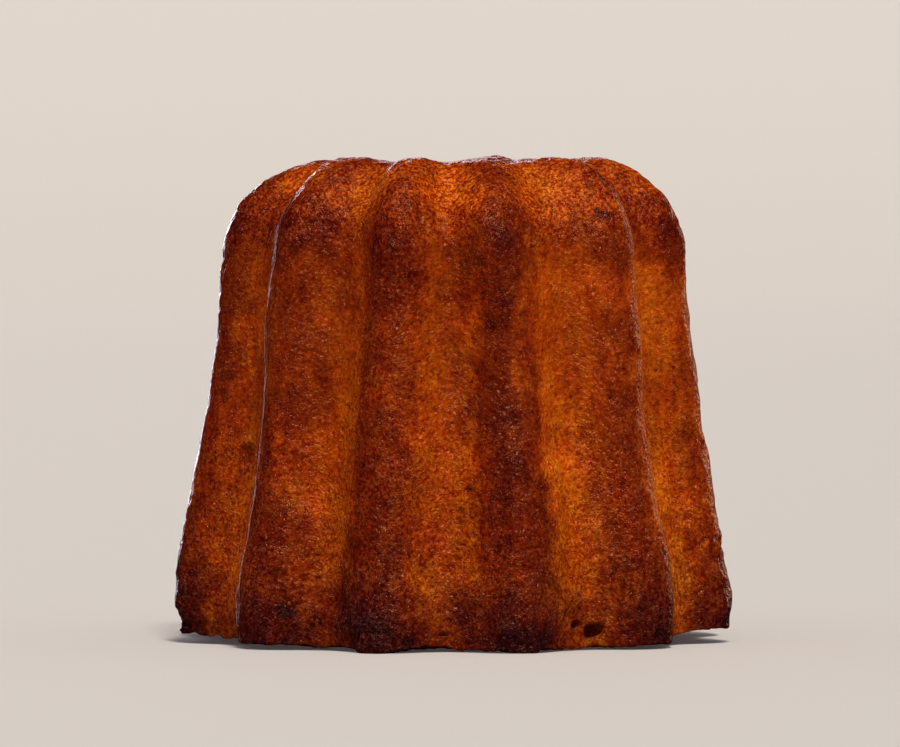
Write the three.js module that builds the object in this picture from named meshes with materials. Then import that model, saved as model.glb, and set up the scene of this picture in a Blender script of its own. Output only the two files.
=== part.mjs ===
// A canele: a small cake baked in a tall fluted mould and turned out upside down. The closed end of the
// mould becomes the shallow dish on top, and the open end, which puffed up in the oven, becomes the base.
// Millimetres, +Z up. The cake rests on z = 0 and its front is towards -Y.
import * as THREE from "three";

// Driving dimensions. Every radius is taken over the ridges.
const HEIGHT = 45.8; // from the resting spot to the rim of the top
const FOOT_RADIUS = 27; // at the widest ring
const FOOT_HEIGHT = 2; // of that widest ring
const FOOT_UPRIGHT = 4.7; // how far the side leaves the widest ring straight upwards
const NECK_RADIUS = 22.4; // where the side meets the shoulder
const NECK_UPRIGHT = 10.1; // how far the side comes straight up to the neck
const SHOULDER = 9.3; // how far the shoulder rounds down from the rim of the top
const TOP_RADIUS = 13; // of the top, inside the shoulder
const DISH_DEPTH = 1.8; // how far the middle of the top has sunk
const DISH_RIM = 0.84; // share of the top's radius where its rim stays level before the dish begins
const DISH_FLOOR = 0.5; // share of the top's radius that the floor of the dish stays level
const LIP = 0.6; // rounding between the base and the side
const LIP_TUCK = 0.35; // how far the rounding starts inside the widest ring, as a share of its size
const REST_RADIUS = 15; // of the flat spot that carries the cake

const RIDGES = 12;
const RIDGE_PITCH = (2 * Math.PI) / RIDGES;
const FIRST_RIDGE = THREE.MathUtils.degToRad(-75); // angles run from the front, -Y, towards +X
const FLUTE_SHARE = 0.118; // depth of a flute as a share of the radius over the ridges
const FLUTE_STEEPNESS = 0.1; // 0 is a plain wave; more makes rounder ridges and steeper flanks
const FLUTE_END = 8; // radius on the top where the flutes have died out
const FLUTE_FULL = 20; // radius on the shoulder where they are at full depth
const FOOT_REACH = 14; // height over which a lifted foot takes the side above it along

// Each ridge as it was baked, from the first one round: how far it leans round from its even place and how
// much further its top does, in degrees, and in millimetres how far it swells, how high its top stands and
// how high its foot lifts.
const BAKED = [
  { lean: -0.5, twist: 0.0, swell: 0.0, top: -0.65, foot: 0.5 },
  { lean: 0.2, twist: 0.0, swell: 0.0, top: 0.0, foot: 0.5 },
  { lean: -0.3, twist: 0.5, swell: 0.0, top: 0.1, foot: 0.0 },
  { lean: 0.0, twist: -2.6, swell: -0.1, top: -0.6, foot: 0.2 },
  { lean: 1.4, twist: 0.0, swell: 0.0, top: 0.4, foot: 0.4 },
  { lean: 1.0, twist: 0.0, swell: 0.0, top: 0.2, foot: 1.4 },
  { lean: 1.2, twist: 0.4, swell: -0.15, top: -0.4, foot: 1.5 },
  { lean: 0.9, twist: 1.1, swell: -0.1, top: -0.6, foot: 1.0 },
  { lean: -1.4, twist: -1.3, swell: 0.05, top: 0.0, foot: 0.7 },
  { lean: 1.6, twist: 0.8, swell: -0.05, top: -0.7, foot: 0.9 },
  { lean: -0.8, twist: 1.2, swell: 0.1, top: -0.6, foot: 0.5 },
  { lean: -1.6, twist: -0.3, swell: -0.3, top: -0.65, foot: 0.8 },
];

// Slow ripples that bend and swell the ridges all over: waves round the cake, waves per millimetre of
// height, phase, and size in millimetres.
const RIPPLES = [
  { round: 3, rise: 0.21, phase: 4.2, size: 0.12 },
  { round: 4, rise: 0.33, phase: 1.7, size: 0.14 },
  { round: 8, rise: 0.12, phase: 5.4, size: 0.08 },
];
// A ridge strays to each side as it climbs: how far, in radians, and the waves that it makes.
const WANDER = { size: 0.011, round: 5, rise: 0.16, phase: 3.8 };
const TWIST_START = 28; // height where the tops begin to lean further round
const TWIST_REACH = 14; // height over which they do

const COLUMNS_PER_RIDGE = 12;

const clamp01 = (x) => THREE.MathUtils.clamp(x, 0, 1);
const smooth = (x) => THREE.MathUtils.smootherstep(x, 0, 1);
const mix = THREE.MathUtils.lerp;

// The outline over the ridges, from the middle of the base out, up the side and in to the middle of the
// top: each stretch is a curve and the number of steps it takes.
function outline() {
  const at = (radius, height) => new THREE.Vector2(radius, height);
  const neck = HEIGHT - SHOULDER;
  const lipTop = FOOT_RADIUS - LIP_TUCK * LIP;
  const restEdge = at(REST_RADIUS, 0);
  const lipStart = at(lipTop - LIP, 0);
  const lipEnd = at(lipTop, LIP);
  const widest = at(FOOT_RADIUS, FOOT_HEIGHT);
  const base = new THREE.LineCurve(at(0, 0), restEdge);
  const overhang = new THREE.LineCurve(restEdge, lipStart);
  const lip = new THREE.QuadraticBezierCurve(lipStart, at(lipTop, 0), lipEnd);
  const foot = new THREE.LineCurve(lipEnd, widest);
  const side = new THREE.CubicBezierCurve(
    widest,
    at(FOOT_RADIUS, FOOT_HEIGHT + FOOT_UPRIGHT),
    at(NECK_RADIUS, neck - NECK_UPRIGHT),
    at(NECK_RADIUS, neck),
  );
  const shoulder = new THREE.EllipseCurve(
    TOP_RADIUS,
    neck,
    NECK_RADIUS - TOP_RADIUS,
    SHOULDER,
    0,
    Math.PI / 2,
  );
  const dish = new THREE.CubicBezierCurve(
    at(TOP_RADIUS, HEIGHT),
    at(DISH_RIM * TOP_RADIUS, HEIGHT),
    at(DISH_FLOOR * TOP_RADIUS, HEIGHT - DISH_DEPTH),
    at(0, HEIGHT - DISH_DEPTH),
  );
  return [
    [base, 1],
    [overhang, 3],
    [lip, 2],
    [foot, 1],
    [side, 11],
    [shoulder, 8],
    [dish, 5],
  ];
}

// Stations along the outline, each with the way a flute sinks in there and how much each effect counts.
function stations() {
  const made = [];
  for (const [index, [curve, steps]] of outline().entries()) {
    for (let step = index ? 1 : 0; step <= steps; step += 1) {
      const { x: radius, y: height } = curve.getPoint(step / steps);
      const tangent = curve.getTangent(step / steps);
      const aboveNeck = height > HEIGHT - SHOULDER;
      const inward = aboveNeck ? new THREE.Vector2(-tangent.y, tangent.x) : new THREE.Vector2(-1, 0);
      const offRest = smooth(clamp01((radius - REST_RADIUS) / (FOOT_RADIUS - LIP - REST_RADIUS)));
      const offTop = smooth(clamp01((radius - FLUTE_END) / (FLUTE_FULL - FLUTE_END)));
      const low = 1 - smooth(clamp01((height - FOOT_HEIGHT) / FOOT_REACH));
      const high = smooth(clamp01(1 - (HEIGHT - height) / SHOULDER));
      made.push({
        radius,
        height,
        inward,
        flute: FLUTE_SHARE * radius * (height < FOOT_HEIGHT ? offRest : offTop),
        swell: height < FOOT_HEIGHT ? offRest : offTop,
        foot: offRest * low,
        top: offTop * high,
      });
    }
  }
  return made;
}

// How deep a flute is at this share of the way from one ridge to the next: 0 on the ridges, 1 between.
function fluteForm(share) {
  const wave = Math.cos(2 * Math.PI * share);
  return (1 - wave * (1 + FLUTE_STEEPNESS * (1 - wave * wave))) / 2;
}

function ripple(angle, height) {
  return RIPPLES.reduce(
    (total, { round, rise, phase, size }) => total + size * Math.sin(round * angle + rise * height + phase),
    0,
  );
}

// The point of the crust on one station, at an angle measured for evenly spaced ridges.
function crustPoint(station, angle) {
  const turns = (angle - FIRST_RIDGE) / RIDGE_PITCH + RIDGES;
  const share = turns - Math.floor(turns);
  const here = BAKED[Math.floor(turns) % RIDGES];
  const next = BAKED[(Math.floor(turns) + 1) % RIDGES];
  const baked = (name) => mix(here[name], next[name], smooth(share));
  const form = fluteForm(share);

  const sink = station.flute * form;
  const swell = station.swell * (baked("swell") + ripple(angle, station.height));
  const radius = station.radius + station.inward.x * sink + swell;
  const lift = station.foot * baked("foot") + station.top * baked("top");
  const height = station.height + station.inward.y * sink + lift;
  const twist = baked("twist") * smooth(clamp01((station.height - TWIST_START) / TWIST_REACH));
  const wave = WANDER.round * angle + WANDER.rise * station.height + WANDER.phase;
  const turned = angle + THREE.MathUtils.degToRad(baked("lean") + twist) + WANDER.size * Math.sin(wave);
  return new THREE.Vector3(radius * Math.sin(turned), -radius * Math.cos(turned), height);
}

// A lathe turns the plain outline, and its rows of points are then moved out to the fluted crust.
function cakeGeometry() {
  const rows = stations();
  const columns = RIDGES * COLUMNS_PER_RIDGE;
  const geometry = new THREE.LatheGeometry(
    rows.map(({ radius, height }) => new THREE.Vector2(radius, height)),
    columns,
  );
  const points = geometry.getAttribute("position");
  for (let column = 0; column <= columns; column += 1) {
    const angle = (2 * Math.PI * (column % columns)) / columns;
    rows.forEach((station, row) => {
      const point = crustPoint(station, angle);
      points.setXYZ(column * rows.length + row, ...point.toArray());
    });
  }
  geometry.computeVertexNormals();
  geometry.computeBoundingBox();
  const middle = geometry.boundingBox.getCenter(new THREE.Vector3());
  return geometry.translate(-middle.x, -middle.y, 0);
}

const crust = new THREE.MeshStandardMaterial({ color: 0x8a3208, roughness: 0.42, metalness: 0 });

const cake = new THREE.Mesh(cakeGeometry(), crust);
cake.name = "cake";

const canele = new THREE.Group();
canele.add(cake);

export default canele;
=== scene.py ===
# The looks of a canele: one fine mesh of its fluted crust, pitted and browned
import math

import bpy
import numpy as np
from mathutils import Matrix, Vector, noise


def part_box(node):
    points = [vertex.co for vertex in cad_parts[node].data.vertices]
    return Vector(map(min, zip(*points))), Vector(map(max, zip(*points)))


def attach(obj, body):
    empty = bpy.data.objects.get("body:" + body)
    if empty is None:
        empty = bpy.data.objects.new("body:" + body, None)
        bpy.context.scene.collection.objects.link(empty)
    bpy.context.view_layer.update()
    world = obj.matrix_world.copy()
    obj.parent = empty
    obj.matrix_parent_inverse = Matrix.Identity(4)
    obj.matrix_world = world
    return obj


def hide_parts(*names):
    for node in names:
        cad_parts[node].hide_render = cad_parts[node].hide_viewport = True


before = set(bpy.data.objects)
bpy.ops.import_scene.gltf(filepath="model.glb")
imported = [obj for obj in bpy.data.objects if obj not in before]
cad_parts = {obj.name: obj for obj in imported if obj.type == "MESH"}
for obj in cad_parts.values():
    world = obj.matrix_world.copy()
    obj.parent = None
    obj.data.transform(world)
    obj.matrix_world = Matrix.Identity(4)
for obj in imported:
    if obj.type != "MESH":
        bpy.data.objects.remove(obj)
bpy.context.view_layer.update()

mm = 0.001


def smooth(x):
    x = np.clip(x, 0, 1)
    return x * x * x * (x * (x * 6 - 15) + 10)


def mix(a, b, share):
    return a + (b - a) * share


def above(x, start, reach):  # 0 at the start, rising to 1 over its reach
    return smooth((x - start) / reach)


def below(x, start, reach):  # 1 at the start, falling to 0 over its reach
    return 1 - above(x, start, reach)


def near(x, middle, reach):  # 1 in the middle, falling to 0 at its reach
    return below(np.abs(x - middle), 0, reach)


# The same form as the solid's, in millimetres, with every radius taken over the ridges
cakeForm = {
    "height": 45.8,  # to the rim of the top
    "footRadius": 27.0,  # of the widest ring
    "footHeight": 2.0,  # of the widest ring
    "footUpright": 4.7,  # handle of the side's curve, straight up from the widest ring
    "neckRadius": 22.4,
    "neckUpright": 10.1,  # and its handle straight down from the neck
    "shoulder": 9.3,  # how far it rounds down from the rim
    "topRadius": 13.0,
    "dishDepth": 1.8,
    "dishRim": 0.84,  # where the handles of the dish's curve lie, as shares of the top's radius
    "dishFloor": 0.5,
    "lip": 0.6,  # how far the lower edge of the foot is rounded
    "lipTuck": 0.35,  # how far it is set in, as a share of that
    "restRadius": 15.0,  # of the flat spot under the cake
    "fluteShare": 0.118,  # depth of a flute as a share of the radius
    "fluteSteepness": 0.1,  # how much steeper its sides are than a plain wave's
    "fluteEnd": 8.0,  # radius on the top where the flutes run out
    "fluteFull": 20.0,  # and where they are at full depth
    "footReach": 14.0,  # how far up the lift of the foot is felt
    "firstRidge": -75.0,  # degrees from the front towards the right
    # each ridge as baked: degrees that it leans and that its top leans further, millimetres that it
    # swells, stands up at the top and lifts at the foot
    "lean": [-0.5, 0.2, -0.3, 0, 1.4, 1.0, 1.2, 0.9, -1.4, 1.6, -0.8, -1.6],
    "twist": [0, 0, 0.5, -2.6, 0, 0, 0.4, 1.1, -1.3, 0.8, 1.2, -0.3],
    "twistStart": 28.0,  # height where the tops begin to lean further round
    "twistReach": 14.0,
    "swell": [0, 0, 0, -0.1, 0, 0, -0.15, -0.1, 0.05, -0.05, 0.1, -0.3],
    "top": [-0.65, 0, 0.1, -0.6, 0.4, 0.2, -0.4, -0.6, 0, -0.7, -0.6, -0.65],
    "foot": [0.5, 0.5, 0, 0.2, 0.4, 1.4, 1.5, 1.0, 0.7, 0.9, 0.5, 0.8],
    # slow waves in and out, and to and fro: how many round, their climb, phase and size
    "ripples": [(3, 0.21, 4.2, 0.12), (4, 0.33, 1.7, 0.14), (8, 0.12, 5.4, 0.08)],
    "wander": (5, 0.16, 3.8, 0.011),
    "cell": 0.19,  # how far apart the points of the mesh lie
}


def bezier(a, b, c, d, steps):
    t = np.linspace(0, 1, steps + 1)[:, None]
    a, b, c, d = (np.array(point, float) for point in (a, b, c, d))
    return (1 - t) ** 3 * a + 3 * (1 - t) ** 2 * t * b + 3 * (1 - t) * t * t * c + t**3 * d


# From the middle of the base out, up the side, round the shoulder and in to the middle of the top
def outline(form):
    neck = form["height"] - form["shoulder"]
    lipTop = form["footRadius"] - form["lipTuck"] * form["lip"]
    lipStart = (lipTop - form["lip"], 0)
    lipEnd = (lipTop, form["lip"])
    widest = (form["footRadius"], form["footHeight"])
    top = form["topRadius"]
    floor = form["height"] - form["dishDepth"]

    def steps(length, coarseness=1.0):
        return max(2, round(length / form["cell"] / coarseness))

    base = np.linspace((0, 0), lipStart, steps(lipStart[0], 1.6) + 1)
    lip = bezier(lipStart, (lipTop, 0), (lipTop, 0), lipEnd, steps(2 * form["lip"]))
    foot = np.linspace(lipEnd, widest, steps(form["footHeight"] - form["lip"]) + 1)
    side = bezier(
        widest,
        (form["footRadius"], form["footHeight"] + form["footUpright"]),
        (form["neckRadius"], neck - form["neckUpright"]),
        (form["neckRadius"], neck),
        steps(neck - form["footHeight"]),
    )
    turn = np.linspace(0, math.pi / 2, steps(form["shoulder"] * math.pi / 2) + 1)
    across = top + (form["neckRadius"] - top) * np.cos(turn)
    shoulder = np.stack([across, neck + form["shoulder"] * np.sin(turn)], axis=1)
    dish = bezier(
        (top, form["height"]),
        (form["dishRim"] * top, form["height"]),
        (form["dishFloor"] * top, floor),
        (0, floor),
        steps(top, 1.3),
    )
    return np.vstack([base, lip[1:], foot[1:], side[1:], shoulder[1:], dish[1:]])


# Rows along the outline and columns round the cake, with what each point is part of
def crustGrid(form):
    line = outline(form)
    radius, height = line[:, :1], line[:, 1:]
    tangent = np.gradient(line, axis=0)
    tangent /= np.linalg.norm(tangent, axis=1, keepdims=True)
    aboveNeck = height > form["height"] - form["shoulder"]
    inwardAcross = np.where(aboveNeck, -tangent[:, 1:], -1)
    inwardUp = np.where(aboveNeck, tangent[:, :1], 0)
    lipRadius = form["footRadius"] - form["lip"]
    offRest = above(radius, form["restRadius"], lipRadius - form["restRadius"])
    offTop = above(radius, form["fluteEnd"], form["fluteFull"] - form["fluteEnd"])
    fluted = np.where(height < form["footHeight"], offRest, offTop)
    low = below(height, form["footHeight"], form["footReach"])
    high = above(height, form["height"] - form["shoulder"], form["shoulder"])

    ridges = len(form["lean"])
    perRidge = round(2 * math.pi * form["footRadius"] / form["cell"] / ridges)
    angle = np.arange(ridges * perRidge)[None, :] * 2 * math.pi / (ridges * perRidge)
    turns = (angle - math.radians(form["firstRidge"])) * ridges / (2 * math.pi) + ridges
    share = turns - np.floor(turns)
    here = np.floor(turns).astype(int) % ridges

    def baked(name):
        values = np.array(form[name], float)
        return mix(values[here], values[(here + 1) % ridges], smooth(share))

    def slowWave(waves, climb, phase, size):
        return size * np.sin(waves * angle + climb * height + phase)

    wave = np.cos(2 * math.pi * share)
    dip = (1 - wave * (1 + form["fluteSteepness"] * (1 - wave * wave))) / 2
    sink = form["fluteShare"] * radius * fluted * dip
    ripple = sum(slowWave(*one) for one in form["ripples"])
    out = radius + inwardAcross * sink + fluted * (baked("swell") + ripple)
    up = height + inwardUp * sink + offRest * low * baked("foot") + offTop * high * baked("top")
    twist = baked("twist") * above(height, form["twistStart"], form["twistReach"])
    turned = angle + np.radians(baked("lean") + twist) + slowWave(*form["wander"])
    points = np.stack([out * np.sin(turned), -out * np.cos(turned), up], axis=2)
    shape = points.shape[:2]
    return {
        "points": points,
        "ridge": np.broadcast_to(1 - dip, shape),
        "here": np.broadcast_to(here, shape),
        "next": np.broadcast_to((here + 1) % ridges, shape),
        "between": np.broadcast_to(smooth(share), shape),
        "fluted": np.broadcast_to(fluted, shape),
        "radius": np.broadcast_to(radius, shape),
        "under": np.broadcast_to(np.arange(len(line))[:, None] < np.argmax(height > 0), shape),
        "along": np.concatenate([[0], np.cumsum(np.linalg.norm(np.diff(line, axis=0), axis=1))]),
    }


def gridNormals(points):
    across = np.roll(points, -1, axis=1) - np.roll(points, 1, axis=1)
    normals = np.cross(across, np.gradient(points, axis=0))
    return normals / np.maximum(np.linalg.norm(normals, axis=2, keepdims=True), 1e-9)


crustRelief = {
    # noise in the crust: its size in millimetres, how many finer layers, its seed and its depth
    "swells": (7.0, 2, 3.7, 0.25),
    "wrinkles": (1.4, 3, 11.3, 0.12),
    "footCrumbs": (1.6, 3, 5.1, 0.35),
    "raggedSpots": (0.9, 2, 2.2, 0.2),
    "pitSize": 1.4,  # how far apart the small pits lie
    "pitShare": 0.3,  # how many of their places hold one
    "pitDepth": 0.14,
    # where the edge of the foot stands higher or hangs lower: degrees round, how wide, how far up
    "footEdge": [
        (-26.5, 11, 0.4),
        (-16, 8, -0.5),
        (-5.5, 12, 0.45),
        (15, 9, -0.15),
        (17, 2, -0.3),
        (30, 16, -0.2),
    ],
    # larger holes: degrees round, height, width, tallness and depth
    "holes": [
        (33.8, 1.8, 1.75, 1.8, 1.2),
        (29.4, 2.4, 1.1, 1.1, 0.6),
        (-1.9, 1.6, 0.9, 0.6, 0.5),
        (-46, 1.6, 0.5, 0.9, 0.4),
        (-57.7, 1.5, 0.7, 0.6, 0.4),
        (-30.9, 2.5, 0.4, 1.3, 0.35),
        (3.8, 15.1, 0.8, 0.8, 0.35),
        (6, 25.8, 0.4, 0.4, 0.3),
        (32.3, 23.5, 0.5, 0.5, 0.3),
    ],
    # lumps and dents: the same, with how far they stand out
    "lumps": [
        (-16, 0.8, 3.8, 2.6, 0.45),
        (-78, 10.0, 8.0, 11.0, 0.15),
        (-76, 1.0, 12.0, 6.0, -0.7),
        (-78, 26.0, 10.0, 16.0, 0.25),
        (-76, 38.0, 12.0, 8.0, -0.4),
        (-62, 17.9, 2.8, 2.8, -0.45),
        (76, 32.0, 10.0, 18.0, 0.25),
        (76, 14.0, 10.0, 14.0, 0.35),
    ],
}


def fromNoise(points, kind):
    size, layers, seed, depth = kind
    places = (points / size + seed).reshape(-1, 3)
    values = [noise.fractal(place, 1.0, 2.1, layers) for place in places]
    return depth * np.array(values).reshape(points.shape[:2])


def smallPits(points, relief):
    places = (points / relief["pitSize"]).reshape(-1, 3)
    depth = np.zeros(len(places))
    for i, place in enumerate(places):
        distances, centres = noise.voronoi(place)
        chance = noise.cell(centres[0] * 7.3)
        if chance < relief["pitShare"]:
            depth[i] = max(0, 1 - (distances[0] / (0.26 + 0.6 * chance)) ** 2)
    return depth.reshape(points.shape[:2])


# How far inside each spot every point lies: 1 in the spot's middle and 0 outside it
def spots(points, places, ragged):
    total = np.zeros((len(places), *points.shape[:2]))
    for i, (degrees, height, wide, tall, *_) in enumerate(places):
        turn = math.radians(degrees)
        aside = points[:, :, 0] * math.cos(turn) + points[:, :, 1] * math.sin(turn)
        ahead = points[:, :, 0] * math.sin(turn) - points[:, :, 1] * math.cos(turn)
        away = np.hypot(aside / wide * 2, (points[:, :, 2] - height) / tall * 2) + ragged
        total[i] = np.where(ahead > 0, np.clip(1 - away * np.abs(away), 0, 1), 0)
    return total


# How far the edge of the foot is crumbled up or hangs down
def footEdge(grid, relief):
    points = grid["points"]
    lift = np.maximum(0, fromNoise(points * [1, 1, 0.2], relief["footCrumbs"]))
    turned = np.degrees(np.arctan2(points[:, :, 0], -points[:, :, 1]))
    for degrees, wide, up in relief["footEdge"]:
        lift += up * near(turned, degrees, wide * 0.7)
    return lift * near(points[:, :, 2], 0, 2.2) * above(grid["radius"], 20, 5)


def crustPoints(grid, relief):
    points = grid["points"]
    height = points[:, :, 2]
    pits = smallPits(points, relief)
    ragged = fromNoise(points, relief["raggedSpots"])
    holes = spots(points, relief["holes"], ragged)
    lumps = spots(points, relief["lumps"], ragged)

    # the wrinkles are deeper on the shoulder and towards the foot
    rough = 0.8 + 0.4 * above(height, 34, 6) + 0.5 * below(height, 4, 16)
    push = fromNoise(points, relief["swells"])
    push += rough * fromNoise(points * [1, 1, 0.6], relief["wrinkles"])
    push -= relief["pitDepth"] * pits
    for hole, (*_, depth) in zip(holes, relief["holes"]):
        push -= depth * np.sqrt(hole)
    for lump, (*_, rise) in zip(lumps, relief["lumps"]):
        push += rise * smooth(lump)

    calm = np.where(grid["under"], above(grid["radius"], 15, 3), 1)  # so that it rests flat
    moved = points + gridNormals(points) * (push * calm)[:, :, None]
    moved[:, :, 2] += footEdge(grid, relief)
    moved[:, :, 2] = np.maximum(moved[:, :, 2], 0)
    # the points, and how deep in a pit or hole each point lies, for the painted shade in them
    return moved, np.maximum(pits * 0.3, holes.max(axis=0))


# Twelve values, one for each ridge, blended from ridge to ridge
def onRidges(grid, values):
    values = np.array(values)
    return mix(values[grid["here"]], values[grid["next"]], grid["between"])


# Twelve values, one for the flute after each ridge
def onFlutes(grid, values):
    return np.array(values)[grid["here"]]


crustCrumbs = {
    # from the first ridge round: how rough with crumbs each ridge is, and the flute after it
    "ridges": [0.78, 0.80, 1.10, 0.74, 0.78, 0.80, 0.85, 0.78, 0.90, 0.80, 0.75, 0.85],
    "flutes": [0.66, 0.62, 0.71, 0.66, 0.56, 0.60, 0.62, 0.58, 0.65, 0.60, 0.57, 0.62],
    # how much rougher, from which height and over how many millimetres it changes
    "shoulder": (1.55, 36, 6),
    "lowerSide": (0.32, 18.5, 5),
    "foot": (0.23, 4, 14),
}


def crumbliness(grid, crumbs):
    height = grid["points"][:, :, 2]
    crumbly = mix(onFlutes(grid, crumbs["flutes"]), onRidges(grid, crumbs["ridges"]), grid["ridge"])
    more, start, reach = crumbs["shoulder"]
    crumbly += more * above(height, start, reach)
    for more, start, reach in (crumbs["lowerSide"], crumbs["foot"]):
        crumbly += more * below(height, start, reach)
    return crumbly


# How brown the crust has baked: 0 is amber, 1 almost black
def browning(grid, baking):
    points, ridge = grid["points"], grid["ridge"]
    height = points[:, :, 2]
    tone = mix(onFlutes(grid, baking["flutes"]), onRidges(grid, baking["ridges"]), ridge**1.3)
    tone += onRidges(grid, baking["necks"]) * mix(0.5, 1, ridge) * near(height, 36, 9)
    # painted light: the shoulder, which faces up towards the lamp, is made paler
    tone -= baking["shoulder"] * above(height, 38, 5)
    tone += baking["foot"] * below(height, 0, baking["footReach"]) * mix(0.55, 1, ridge)
    tone = mix(baking["dish"], tone, grid["fluted"])
    tone = np.where(grid["under"], mix(baking["base"], tone, above(grid["radius"], 22, 4)), tone)
    tone += baking["band"] * near(height, 39, 6)
    tone += fromNoise(points * [1, 1, 0.5], baking["clouds"])
    patches = spots(points, baking["patches"], fromNoise(points, baking["raggedPatches"]))
    for patch, (*_, darker) in zip(patches, baking["patches"]):
        tone += darker * smooth(patch)
    return tone


crustBaking = {
    # from the first ridge round: how brown each ridge is, the flute after it, and how much browner
    # the ridge's neck is
    "ridges": [0.56, 0.60, 0.62, 0.68, 0.58, 0.44, 0.50, 0.60, 0.66, 0.57, 0.63, 0.52],
    "flutes": [0.35, 0.38, 0.40, 0.33, 0.28, 0.36, 0.42, 0.38, 0.45, 0.40, 0.36, 0.42],
    "necks": [0.06, 0.04, 0.08, 0.00, -0.02, 0.08, 0.14, 0.10, 0.16, 0.05, 0.18, 0.10],
    # the paler shoulder is painted light on its upward face
    "shoulder": 0.17,  # how much paler the shoulder is
    "band": 0.065,  # how much browner it is just above the neck
    "dish": 0.52,
    "base": 0.55,
    "foot": 0.40,
    "footReach": 9.0,
    "clouds": (6.0, 3, 8.2, 0.12),  # noise in the browning, given as in the relief
    "raggedPatches": (1.6, 3, 6.6, 0.3),
    # paler and darker patches: degrees round, height, width, tallness and how much darker
    "patches": [
        # the ridge at -75 and the flute after it
        (-76, 6, 12, 8, 0.19), (-72, 20, 16, 28, 0.06), (-68, 38, 18, 9, 0.02),
        (-64, 41.5, 20, 8, 0.20), (-63, 18, 2.4, 2.6, 0.08), (-62, 3, 8, 6, -0.10),
        (-60, 26, 6, 8, 0.05), (-60, 31, 5, 6, -0.09), (-60, 44, 8, 4, -0.14),
        # the ridge at -45 and the flute after it
        (-47, 27, 5, 10, -0.06), (-46, 34, 6, 6, -0.06), (-40, 22.5, 9, 6, 0.10),
        (-38.5, 44.5, 3.5, 3, 0.14), (-38, 10.5, 10, 8, 0.08), (-38, 40.5, 8, 9, 0.20),
        (-37.2, 3.7, 2.2, 1.8, 0.30), (-37, 22, 5, 8, 0.06), (-33, 43.8, 5, 3, 0.08),
        (-30, 34, 7, 10, 0.08), (-30, 41.5, 5, 6, -0.12), (-26, 4, 6, 8, 0.20),
        (-26, 30, 5, 24, -0.07), (-24.5, 22, 2.6, 34, -0.04),
        # the ridge at -15 and the flute after it
        (-20, 5, 3, 8, 0.06), (-20, 26, 2.4, 32, 0.06), (-17, 9, 8, 9, 0.09),
        (-15, 3.5, 8, 4, 0.06), (-15, 31, 6, 5, -0.06), (-14, 42.5, 8, 5, 0.11),
        (-12, 27, 4, 6, 0.04), (-10, 5, 5, 11, -0.13), (-6, 39.5, 10, 4, -0.05),
        (-5, 20, 6, 28, -0.06), (-3, 10, 7, 10, 0.06), (-3, 19, 7, 5, -0.06),
        (-3, 37.5, 8, 8, -0.12), (-3, 42.3, 8, 4, -0.09), (1, 4.5, 4, 6, 0.11),
        (1.5, 27, 5, 24, 0.08), (2, 18, 4, 7, -0.06), (2, 37, 4, 6, 0.12), (3, 4, 4, 6, 0.10),
        (3, 43, 6, 5, -0.12), (6, 13, 4, 5, 0.05),
        # the ridge at 15 and the flute after it
        (10, 24, 5, 28, 0.08), (11, 33, 5, 8, 0.08), (12, 22.5, 7, 6, 0.10),
        (12, 35, 5, 6, -0.06), (14, 12.5, 4, 5, 0.05), (16, 3.5, 4, 7, -0.16),
        (16.5, 26, 3.5, 14, -0.12), (16.5, 30, 3, 6, -0.10), (20, 18, 3, 6, -0.08),
        (20, 30.5, 3, 5, -0.08), (20.5, 4, 4, 6, -0.14), (21.5, 32.5, 4.5, 18, -0.17),
        (23.3, 15, 3, 28, -0.16), (26.5, 19, 6, 22, -0.12), (27, 16.8, 7, 3.5, -0.10),
        (27, 20.3, 7, 2.5, 0.06), (29, 40, 8, 6, 0.06), (30, 19, 8, 9, -0.08),
        (31, 4.5, 5, 4, 0.04), (31, 30.5, 6, 5, -0.05), (31, 40.3, 6, 4, 0.03),
        (34.5, 3, 6, 4, 0.08), (36, 10, 5, 16, 0.12),
        # the ridge at 45 and the flute after it
        (40.5, 17, 6, 24, 0.12), (42, 27, 6, 8, -0.09), (42.5, 40.5, 2.2, 1.6, 0.35),
        (43, 6, 6, 8, 0.08), (46, 3, 4, 5, -0.06), (46, 34, 10, 9, -0.12), (46, 40, 6, 5, -0.08),
        # the narrow paler strip at 51 degrees is a painted highlight along the right edge of the
        # ridge at 45
        (49, 22, 4, 30, -0.10), (51, 24, 1.8, 42, -0.22), (58, 43.5, 16, 6, 0.12),
        (60, 15.5, 6, 9, -0.10), (61, 3.5, 5, 6, -0.08), (63, 31, 14, 16, -0.14),
        # the ridge at 75
        (66, 40.5, 11, 11, 0.24), (76, 6, 14, 12, 0.25),
    ],
}


# A sheet round the cake and along its outline, so that textures can be baked onto it
def layBake(mesh, along, columns):
    rows = len(along)
    share = along / along[-1]
    corners = np.zeros(len(mesh.loops), np.int32)
    mesh.loops.foreach_get("vertex_index", corners)
    row, column = corners // columns + 1, corners % columns
    row = np.where(corners == (rows - 2) * columns, 0, row)  # the point under the cake
    row = np.where(corners == (rows - 2) * columns + 1, rows - 1, row)  # the point in its dish
    counts = np.zeros(len(mesh.polygons), np.int32)
    mesh.polygons.foreach_get("loop_total", counts)
    face = np.repeat(np.arange(len(counts)), counts)
    first = np.concatenate([[0], np.cumsum(counts)[:-1]])
    across = np.where((row == 0) | (row == rows - 1), column[first][face], column)
    # the faces that close each ring end at the sheet's far side
    last = np.zeros(len(counts), np.int32)
    np.maximum.at(last, face, across)
    across = np.where((last[face] == columns - 1) & (across == 0), columns, across)
    sheet = mesh.uv_layers.new(name="OFBake")
    places = np.stack([across / columns, share[row]], axis=1)
    sheet.data.foreach_set("uv", places.ravel().astype(np.float32))


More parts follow.
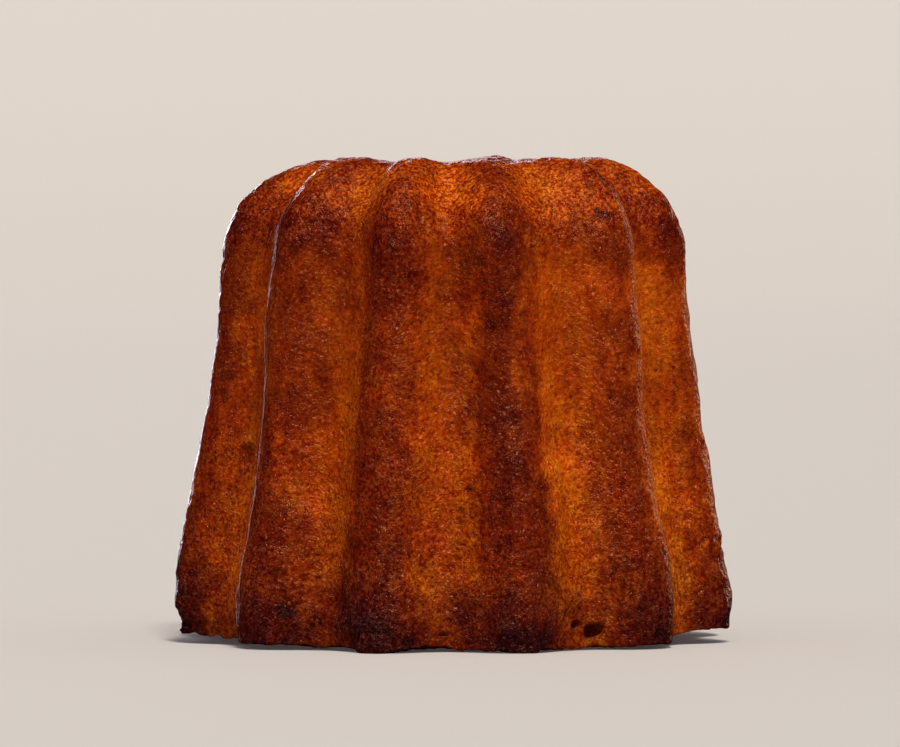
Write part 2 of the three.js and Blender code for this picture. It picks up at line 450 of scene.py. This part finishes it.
# The crust takes the solid's own place and height
def onSolid(points):
    low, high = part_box("cake")
    flat = points.reshape(-1, 3)
    middle = (flat.max(axis=0) + flat.min(axis=0)) / 2
    placed = points * (high.z - low.z) / flat[:, 2].max()
    placed[:, :, 0] += (low.x + high.x) / 2 - middle[0] * mm
    placed[:, :, 1] += (low.y + high.y) / 2 - middle[1] * mm
    placed[:, :, 2] += low.z
    return placed


# Rings of points round the cake, closed by one point under it and one in its dish
def crustMesh(points):
    rows, columns = points.shape[:2]
    rings = points[1:-1].reshape(-1, 3)
    ends = np.stack([points[0].mean(axis=0), points[-1].mean(axis=0)])
    index = np.arange((rows - 2) * columns).reshape(rows - 2, columns)
    right = np.roll(index, -1, axis=1)
    quads = np.stack([index[:-1], right[:-1], right[1:], index[1:]], axis=2).reshape(-1, 4)
    bottom = np.stack([right[0], index[0], np.full(columns, len(rings))], axis=1)
    top = np.stack([index[-1], right[-1], np.full(columns, len(rings) + 1)], axis=1)
    mesh = bpy.data.meshes.new("cakeCrust")
    mesh.from_pydata(np.vstack([rings, ends]), [], quads.tolist() + bottom.tolist() + top.tolist())
    mesh.shade_smooth()
    return mesh


def crustPiece():
    grid = crustGrid(cakeForm)
    print("grid", grid["points"].shape)
    points, pitted = crustPoints(grid, crustRelief)
    print("relief done")
    mesh = crustMesh(onSolid(points))
    layBake(mesh, grid["along"], points.shape[1])
    painted = {
        "browned": browning(grid, crustBaking),
        "pitted": pitted,
        "crumbly": crumbliness(grid, crustCrumbs),
    }
    for name, values in painted.items():
        attribute = mesh.attributes.new(name, "FLOAT", "POINT")
        column = np.concatenate([values[1:-1].ravel(), [values[0].mean(), values[-1].mean()]])
        attribute.data.foreach_set("value", column.astype(np.float32))
    piece = bpy.data.objects.new("cakeCrust", mesh)
    bpy.context.scene.collection.objects.link(piece)
    print("crust mesh", len(mesh.polygons), "faces")
    return piece


# One socket of a shader, so that masks are written as plain sums
class Wire:
    def __init__(self, tree, socket=None):
        self.tree = tree
        self.socket = socket

    # any node: its type, its settings, then what its sockets hold, by name or number
    def node(self, kind, settings=None, sockets=None, output=0):
        made = self.tree.nodes.new(kind)
        for name, value in (settings or {}).items():
            if name == "stops":
                fillRamp(made.color_ramp, value)
            else:
                setattr(made, name, value)
        for name, value in (sockets or {}).items():
            if isinstance(value, Wire):
                self.tree.links.new(value.socket, made.inputs[name])
            else:
                made.inputs[name].default_value = value
        return Wire(self.tree, made.outputs[output])

    def math(self, operation, a, b=0.0):
        return self.node("ShaderNodeMath", {"operation": operation}, {0: a, 1: b})

    def __add__(self, other):
        if isinstance(other, tuple):
            return self.node("ShaderNodeVectorMath", {"operation": "ADD"}, {0: self, 1: other})
        return self.math("ADD", self, other)

    def __radd__(self, other):
        return self.math("ADD", other, self)

    def __sub__(self, other):
        return self.math("SUBTRACT", self, other)

    def __rsub__(self, other):
        return self.math("SUBTRACT", other, self)

    def __mul__(self, other):
        return self.math("MULTIPLY", self, other)

    def __rmul__(self, other):
        return self.math("MULTIPLY", other, self)

    def atMost(self, limit):
        return self.math("MINIMUM", self, limit)

    def size(self):
        return self.math("ABSOLUTE", self)

    # one colour tinted by another
    def times(self, other):
        settings = {"data_type": "RGBA", "blend_type": "MULTIPLY"}
        return self.node("ShaderNodeMix", settings, {0: 1.0, 6: self, 7: other}, 2)

    # 0 below the first number, 1 above the second
    def between(self, low, high):
        return self.node(
            "ShaderNodeMapRange",
            {"interpolation_type": "SMOOTHSTEP"},
            {"Value": self, "From Min": low, "From Max": high},
        )

    # colour a where this is 0, colour b where it is 1
    def blend(self, a, b):
        sockets = {0: self, 6: opaque(a), 7: opaque(b)}
        return self.node("ShaderNodeMix", {"data_type": "RGBA"}, sockets, 2)

    def stretched(self, x, y, z):
        settings = {"operation": "MULTIPLY"}
        return self.node("ShaderNodeVectorMath", settings, {0: self, 1: (x, y, z)})

    def into(self, shader, name):
        self.tree.links.new(self.socket, shader.inputs[name])


def fillRamp(ramp, stops):
    while len(ramp.elements) < len(stops):
        ramp.elements.new(1)
    for element, (place, colour) in zip(ramp.elements, stops):
        element.position = place
        element.color = opaque(colour)


def opaque(colour):
    return (*colour, 1) if isinstance(colour, tuple) else colour


crustLook = {
    # baked colours, from amber flutes to burnt ridges
    "bakes": [
        (0.00, (0.64, 0.106, 0.0020)),
        (0.28, (0.42, 0.0515, 0.0008)),
        (0.52, (0.21, 0.0165, 0.0006)),
        (0.76, (0.088, 0.0038, 0.0009)),
        (1.00, (0.030, 0.0025, 0.0016)),
    ],
    # how much each makes the browning vary
    "mottle": 0.52,
    "streaks": 0.24,
    "blots": 0.34,
    # the pits and holes are painted browner, as shade in them
    "pits": 0.28,
    "goldTints": [(1, 0.85, 0.8), (1, 1.2, 1)],  # the redder and the more golden stretches
    "footTint": (1, 1.3, 1.7),
    # how pale the plain crust is, from 0 between the crumbs to 1 on them, and what each mark adds
    "plain": 0.26,
    "curls": 0.75,
    "speckle": 1.7,
    "grit": 1.4,
    # the flecks are painted glints, pale specks that lighten the colour
    "flecks": 0.70,
    # the pinholes are painted darker, as shade in them
    "pinholes": -0.6,
    # the tint on the crumbs is partly a painted glint on their rims
    "crumbAndGlintTints": [(0.60, 0.28, 0.05), (1.72, 2.95, 6.2)],  # between the crumbs and on them
    # a pale pink over the curls and flecks, partly sugar and partly painted sheen
    "sugarAndSheen": 0.09,
    "sugarAndSheenColour": (0.60, 0.24, 0.12),
    # and how high each stands, as a share of the grain
    "heights": {
        "curls": 0.6,
        "speckle": 1,
        "flecks": 1,
        "pinholes": -1,
        "dimples": 0.6,
        "puffs": 1.6,
    },
    "grain": 0.18,  # depth in millimetres
    "roughness": 0.12,
    "roughnessSpread": 0.2,
    "shine": 0.26,
    "shineTint": (1.0, 0.53, 0.28),
}


def newMaterial(name):
    material = bpy.data.materials.new(name)
    material.use_nodes = True
    return Wire(material.node_tree), material.node_tree.nodes["Principled BSDF"], material


# Noise from 0 to 1, its size in millimetres
def cloud(place, size, detail):
    sockets = {"Vector": place, "Scale": 1 / size, "Detail": detail, "Roughness": 0.6}
    return place.node("ShaderNodeTexNoise", {}, sockets, "Fac")


# How far away the nearest of many scattered points is
def cells(place, size):
    sockets = {"Vector": place, "Scale": 1 / size}
    return place.node("ShaderNodeTexVoronoi", {}, sockets, "Distance")


# Thin winding lines, broken up
def curls(place, size, width):
    winding = (cloud(place, size, 1) - 0.5).size()
    kept = cloud(place + (3.0, 9.0, 27.0), size * 0.8, 1).between(0.4, 0.55)
    return (1 - winding.between(0.0, width)) * kept


def heightOf(place):
    return place.node("ShaderNodeSeparateXYZ", {}, {0: place}, "Z")


# The crust's colour before the crumbs on it
def bakedColour(place, browned, pitted, look):
    tall = place.stretched(1, 1, 0.5)
    mottle = cloud(tall, 3.0, 3) - 0.5
    streaks = cloud(place.stretched(1, 1, 0.16), 0.7, 2) - 0.5
    blots = cloud(place + (11.0, 2.0, 19.0), 1.8, 1) - 0.5
    tone = browned + mottle * look["mottle"] + streaks * look["streaks"]
    # painted shade: darker in the pits and holes
    tone = tone + blots * look["blots"] + pitted * look["pits"]
    baked = place.node("ShaderNodeValToRGB", {"stops": look["bakes"]}, {"Fac": tone})
    onTop = heightOf(place).between(34.0, 40.0)
    gold = cloud(tall + (31.0, 7.0, 13.0), 2.4, 2).between(0.35, 0.65) * (1 - onTop * 0.3)
    footwards = 1 - heightOf(place).between(2.0, 12.0)
    baked = baked.times(gold.blend(*look["goldTints"]))
    return baked.times(footwards.blend((1, 1, 1), look["footTint"]))


# The small marks of the crust, each mostly from 0 to 1
def crustMarks(place, crumbly):
    thick = cloud(place + (5.0, 17.0, 3.0), 4.0, 2).between(0.36, 0.6) * 0.7 + 0.3
    holed = cloud(place, 2.1, 0).between(0.47, 0.57)
    # the flecks are painted glints: sparse small specks that lighten the colour and stand up a little
    glintFlecked = cloud(place, 1.2, 1).between(0.40, 0.58) * crumbly
    flecks = 1 - cells(place.stretched(1, 1, 1.4), 0.62).between(0.12, 0.26)
    lowered = 1 - heightOf(place).between(14.0, 24.0) * 0.6
    return {
        "curls": curls(place, 0.55, 0.055) * thick * crumbly.atMost(1.0),
        "speckle": cloud(place, 0.36, 2),
        "grit": cloud(place, 0.21, 1),
        "flecks": flecks * glintFlecked,
        "pinholes": (1 - cells(place, 1.9).between(0.05, 0.11)) * holed,
        "dimples": cells(place, 0.52),
        "puffs": cloud(place + (2.0, 4.0, 6.0), 1.2, 1) * lowered,
    }


def crustMaterial(look):
    start, shader, material = newMaterial("bakedCrust")
    place = start.node("ShaderNodeTexCoord", output="Object").stretched(1 / mm, 1 / mm, 1 / mm)

    def painted(name):
        return start.node("ShaderNodeAttribute", {"attribute_name": name}, output="Fac")

    crumbly = painted("crumbly")
    baked = bakedColour(place, painted("browned"), painted("pitted"), look)
    marks = crustMarks(place, crumbly)

    # the curls and flecks lighten the colour, partly as painted glints; the pinholes darken it, as
    # painted shade in them
    crumbs = look["plain"] + sum(marks[name] * look[name] for name in ("curls", "flecks", "pinholes"))
    crumbs = crumbs + (marks["speckle"] - 0.5) * crumbly * look["speckle"]
    crumbs = crumbs + (marks["grit"] - 0.5) * (crumbly - 0.6) * look["grit"]
    tinted = baked.times(crumbs.blend(*look["crumbAndGlintTints"]))
    # the curls and flecks are paled towards pink: partly sugar, partly painted sheen and glints
    sugarAndSheenShare = (marks["curls"] + marks["flecks"]) * look["sugarAndSheen"]
    sugarAndSheenShare.blend(tinted, look["sugarAndSheenColour"]).into(shader, "Base Color")

    roughness = cloud(place, 1.1, 2) * look["roughnessSpread"] + look["roughness"]
    roughness.into(shader, "Roughness")

    height = sum(marks[name] * share for name, share in look["heights"].items())
    sockets = {"Height": height, "Strength": 1.0, "Distance": look["grain"] * mm}
    start.node("ShaderNodeBump", {}, sockets, "Normal").into(shader, "Normal")
    shader.inputs["Specular IOR Level"].default_value = look["shine"]
    shader.inputs["Specular Tint"].default_value = opaque(look["shineTint"])
    return material


roomLook = {
    "floor": (0.60, 0.585, 0.565),
    "flatRadius": 1.7,  # metres of level floor before it curves up into the backdrop
    "backdropHeight": 0.9,
    "around": 96,  # how many faces the floor has round it
    "sky": (0.94, 0.96, 1.0),
    "skyStrength": 0.33,
    # lights: degrees round, elevation, strength, colour, how wide and whether it casts shadows
    "lights": {
        "key": (12, 60, 2.8, (1.0, 0.90, 0.80), 14, True),
        "windowLeft": (-166, 6, 0.46, (0.90, 0.84, 1.0), 14, False),
        "windowBack": (-178, 15, 0.09, (1.0, 0.84, 0.90), 10, False),
        "windowRight": (149, 8, 0.23, (1.0, 0.62, 0.42), 16, False),
    },
}


def floorMaterial(room):
    start, shader, material = newMaterial("paleFloor")
    place = start.node("ShaderNodeTexCoord", output="Object")
    sockets = {"Vector": place, "Scale": 220.0, "Detail": 2.0}
    grain = start.node("ShaderNodeTexNoise", {}, sockets, "Fac")
    (0.7 + grain * 0.1).into(shader, "Roughness")
    shader.inputs["Specular IOR Level"].default_value = 0.1
    shader.inputs["Base Color"].default_value = opaque(room["floor"])
    return material


def makeFloor(room):
    reach, rise, around = room["flatRadius"], room["backdropHeight"], room["around"]
    profile = [(0, 0)]
    profile += [(r, 0) for r in np.linspace(0.2, reach, 8)]
    for turn in np.linspace(0, math.pi / 2, 25)[1:]:
        profile.append((reach + rise * math.sin(turn), rise * (1 - math.cos(turn))))
    verts, faces = [], []
    n = len(profile)
    for i in range(around):
        a = 2 * math.pi * i / around
        verts += [(r * math.sin(a), r * math.cos(a), z) for r, z in profile]
        j = (i + 1) % around
        faces += [(i * n + k, i * n + k + 1, j * n + k + 1, j * n + k) for k in range(n - 1)]
    mesh = bpy.data.meshes.new("floorSweep")
    mesh.from_pydata(verts, [], faces)
    mesh.validate()
    mesh.shade_smooth()
    mesh.materials.append(floorMaterial(room))
    floor = bpy.data.objects.new("floorSweep", mesh)
    floor.location.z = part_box("cake")[0].z
    bpy.context.scene.collection.objects.link(floor)
    floor.visible_glossy = False
    floor.visible_shadow = False  # the windows are low behind it


def makeSky(room):
    world = bpy.data.worlds.new("softSky")
    world.use_nodes = True
    sky = world.node_tree.nodes["Background"]
    sky.inputs["Color"].default_value = opaque(room["sky"])
    sky.inputs["Strength"].default_value = room["skyStrength"]
    world.cycles_visibility.glossy = False
    bpy.context.scene.world = world


def towardsLight(degrees, lift):
    a, e = math.radians(degrees), math.radians(lift)
    return Vector((math.sin(a) * math.cos(e), -math.cos(a) * math.cos(e), math.sin(e)))


def hang(light, middle, away):
    lamp = bpy.data.objects.new(light.name, light)
    lamp.location = middle + away
    lamp.rotation_euler = away.to_track_quat("Z", "Y").to_euler()
    lamp.visible_camera = False
    bpy.context.scene.collection.objects.link(lamp)


def makeLights(lights):
    middle = sum(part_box("cake"), Vector()) / 2
    for name, (degrees, lift, strength, colour, width, shadows) in lights.items():
        light = bpy.data.lights.new(name, "SUN")
        light.energy = strength
        light.angle = math.radians(width)
        light.color = colour
        light.use_shadow = shadows
        hang(light, middle, towardsLight(degrees, lift))


cameraSet = {
    "distance": 0.945,  # metres from the middle of the cake
    "eye": 0.050,  # metres above the surface
    "aside": -0.00033,  # metres to the right of the middle
    "pitch": 1.5,  # degrees down
    "lens": 398,
    "sensor": 36,
}


def makeCamera(settings):
    low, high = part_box("cake")
    data = bpy.data.cameras.new("camera")
    data.lens = settings["lens"]
    data.sensor_width = settings["sensor"]
    data.clip_start = 0.05
    data.clip_end = 20
    camera = bpy.data.objects.new("camera", data)
    middle = (low + high) / 2
    camera.location.x = middle.x + settings["aside"]
    camera.location.y = middle.y - settings["distance"]
    camera.location.z = low.z + settings["eye"]
    camera.rotation_euler = (math.radians(90 - settings["pitch"]), 0, 0)
    bpy.context.scene.collection.objects.link(camera)
    bpy.context.scene.camera = camera


makeCamera(cameraSet)
cake = crustPiece()
cake.data.materials.append(crustMaterial(crustLook))
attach(cake, "root")
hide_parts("cake")
print("crust finished")
makeFloor(roomLook)
makeSky(roomLook)
makeLights(roomLook["lights"])
bpy.context.scene.view_settings.view_transform = "Standard"
print("room and lights")
